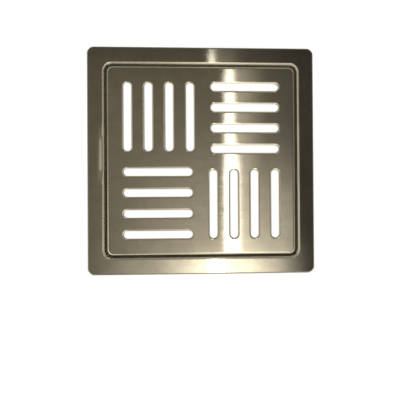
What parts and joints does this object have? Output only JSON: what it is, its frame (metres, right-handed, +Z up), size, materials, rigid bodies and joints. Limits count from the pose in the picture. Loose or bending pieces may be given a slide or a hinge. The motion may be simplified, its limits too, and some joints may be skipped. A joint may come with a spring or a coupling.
{
  "type": "floor drain grate",
  "caption": "Square stainless floor drain: a flanged frame set flush in the floor and a lift-out grate with groups of rounded slots laid in alternating directions.",
  "frame": {"origin": "middle of the lower edge of the frame's collar", "axes": "+Z up out of the floor, +Y to the back (the top of the picture), +X to the right"},
  "size_m": [0.15, 0.15, 0.022],
  "materials": {
    "frame_steel": "satin stainless, brushed from left to right",
    "grate_steel": "satin stainless, brushed from left to right",
    "lug_steel": "dull mill-finish stainless strip",
    "strip_rubber": "matt dark grey moulded rubber"
  },
  "bodies": {
    "frame_body": {"frame": "frame_steel", "anchor_lug_left": "lug_steel", "anchor_lug_right": "lug_steel", "anchor_lug_front": "lug_steel", "anchor_lug_back": "lug_steel", "seat_strip_left": "strip_rubber", "seat_strip_right": "strip_rubber", "seat_strip_front": "strip_rubber", "seat_strip_back": "strip_rubber"},
    "grate_body": {"grate": "grate_steel"}
  },
  "joints": [
    {"name": "grate_lift", "type": "slide", "parent": "frame_body", "child": "grate_body", "axis": [0, 0, 1], "range_m": [0, 0.06]}
  ]
}
